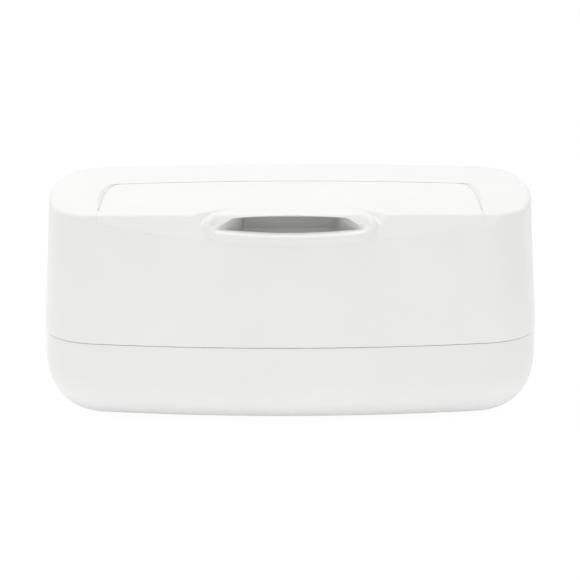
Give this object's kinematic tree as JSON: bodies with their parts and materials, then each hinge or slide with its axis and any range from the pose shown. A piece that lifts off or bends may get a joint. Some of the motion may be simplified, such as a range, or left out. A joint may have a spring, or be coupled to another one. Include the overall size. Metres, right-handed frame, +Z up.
{
  "type": "baby wipes box",
  "caption": "Rounded two-part wipes box with an inset hinged lid, a finger mouth in its front edge, a lift-off housing and an inner press plate.",
  "frame": {"origin": "centre of the box on the surface it stands on", "axes": "+X along the width to the right of someone facing the finger mouth, -Y to the front with the mouth, +Z up"},
  "size_m": [0.2342, 0.1386, 0.0996],
  "materials": {
    "shell_plastic": "fine satin moulded",
    "inner_plastic": "satin moulded",
    "soft_seal": "matte silicone",
    "soft_pad": "matte silicone",
    "steel": "plain",
    "coated_steel": "powder coated"
  },
  "bodies": {
    "base": {"base_tray": "shell_plastic", "foot_pads": "soft_pad"},
    "housing": {"upper_housing": "shell_plastic", "housing_gasket": "soft_seal", "dispensing_deck": "inner_plastic", "deck_screws": "steel", "dispensing_insert": "soft_seal", "insert_clamp_ring": "inner_plastic", "clamp_screws": "steel", "hinge_pins": "steel"},
    "lid": {"lid_shell": "shell_plastic", "lid_liner": "inner_plastic", "lid_liner_screws": "steel", "lid_seal": "soft_seal"},
    "plate": {"press_plate": "inner_plastic", "press_plate_weight": "coated_steel", "press_plate_cover": "inner_plastic"}
  },
  "joints": [
    {"name": "housing_lift", "type": "slide", "parent": "base", "child": "housing", "axis": [0, 0, 1], "range_m": [0, 0.06]},
    {"name": "lid_hinge", "type": "hinge", "parent": "housing", "child": "lid", "pos_m": [0, 0.023, 0.0946], "axis": [-1, 0, 0], "range_deg": [0, 95]},
    {"name": "plate_slide", "type": "slide", "parent": "base", "child": "plate", "axis": [0, 0, 1], "range_m": [0, 0.06]}
  ]
}
